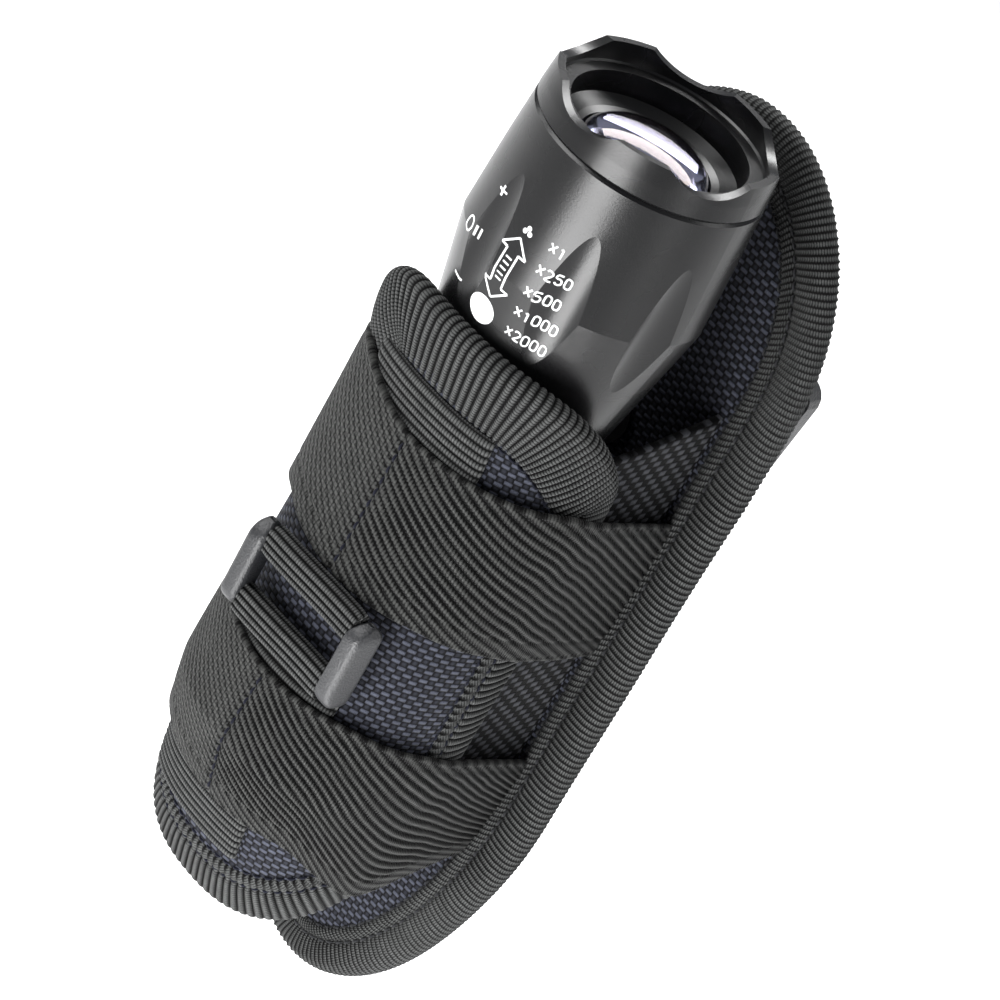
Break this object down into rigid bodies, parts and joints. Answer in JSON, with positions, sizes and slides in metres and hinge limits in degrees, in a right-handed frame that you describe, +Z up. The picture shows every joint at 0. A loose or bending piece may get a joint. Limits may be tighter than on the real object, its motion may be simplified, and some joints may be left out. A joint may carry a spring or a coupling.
{
  "type": "tactical flashlight in belt holster",
  "caption": "Zoom-focus hand torch with scalloped bezel and tail button, carried head-up in a padded belt holster with elastic bands and a swivelling belt clip.",
  "frame": {"origin": "centre of the belt slot between the clip's plate and its leg", "axes": "+Z up along the torch axis towards the lens, -Y to the front face of the holster, +X to the right as seen from the front"},
  "size_m": [0.0592, 0.0727, 0.192],
  "materials": {
    "anodised_aluminium": "satin black anodised",
    "black_retainer": "matt black anodised",
    "lens_glass": "clear, coated",
    "seal_rubber": "matt black",
    "spring_steel": "bright",
    "turned_brass": "turned",
    "gold_spring": "bright plated",
    "board_white": "white solder mask",
    "board_green": "green solder mask",
    "emitter_phosphor": "yellow phosphor under clear dome",
    "cell_wrap": "shrink wrap",
    "natural_plastic": "natural",
    "black_plastic": "moulded",
    "red_plastic": "moulded",
    "boot_rubber": "matt black",
    "ballistic_nylon": "basket weave, navy black",
    "binding_tape": "ribbed grosgrain",
    "elastic_webbing": "twill elastic",
    "strap_webbing": "ribbed grosgrain",
    "moulded_plastic": "satin moulded"
  },
  "bodies": {
    "belt_clip": {"belt_clip": "moulded_plastic"},
    "holster": {"back_panel": "ballistic_nylon", "back_binding": "binding_tape", "front_tongue": "ballistic_nylon", "tongue_binding": "binding_tape", "gusset_left": "ballistic_nylon", "gusset_right": "ballistic_nylon", "upper_elastic": "elastic_webbing", "lower_elastic": "elastic_webbing", "webbing_upper": "strap_webbing", "webbing_lower": "strap_webbing", "webbing_ring": "moulded_plastic", "bottom_strap": "elastic_webbing", "swivel_base": "moulded_plastic", "swivel_washer": "spring_steel", "swivel_rivet": "spring_steel"},
    "torch": {"body_tube": "anodised_aluminium", "neck_stop_ring": "spring_steel", "neck_o_rings": "seal_rubber", "led_pill": "turned_brass", "led_board": "board_white", "led_emitter": "emitter_phosphor", "driver_board": "board_green", "driver_spring": "gold_spring", "battery_cell": "cell_wrap", "battery_sleeve": "natural_plastic", "body_o_ring": "seal_rubber"},
    "head": {"bezel_ring": "anodised_aluminium", "lens_retainer": "black_retainer", "lens": "lens_glass", "lens_o_ring": "seal_rubber", "head_sleeve": "anodised_aluminium"},
    "switch_module": {"switch_housing": "black_plastic", "switch_retaining_ring": "turned_brass", "tail_spring": "gold_spring"},
    "tail_cap": {"tail_cap": "anodised_aluminium"},
    "tail_button": {"switch_boot": "boot_rubber", "switch_plunger": "red_plastic"}
  },
  "joints": [
    {"name": "holster_swivel", "type": "hinge", "parent": "belt_clip", "child": "holster", "pos_m": [0, 0, 0.003], "axis": [0, 1, 0], "continuous": true},
    {"name": "torch_draw", "type": "slide", "parent": "holster", "child": "torch", "axis": [0, 0, 1], "range_m": [0, 0.15]},
    {"name": "head_zoom", "type": "slide", "parent": "torch", "child": "head", "axis": [0, 0, 1], "range_m": [0, 0.013]},
    {"name": "tail_cap_travel", "type": "slide", "parent": "torch", "child": "switch_module", "axis": [0, 0, -1], "range_m": [0, 0.006]},
    {"name": "tail_cap_turn", "type": "hinge", "parent": "switch_module", "child": "tail_cap", "pos_m": [0, -0.04055, -0.055], "axis": [0, 0, -1], "range_deg": [0, 2160]},
    {"name": "tail_button_press", "type": "slide", "parent": "tail_cap", "child": "tail_button", "axis": [0, 0, 1], "range_m": [0, 0.0015], "stiffness_N_per_m": 900, "springref_m": -0.001}
  ],
  "couplings": [
    {"joint": "tail_cap_travel", "follows": "tail_cap_turn", "m_per_rad": 0.000159}
  ]
}
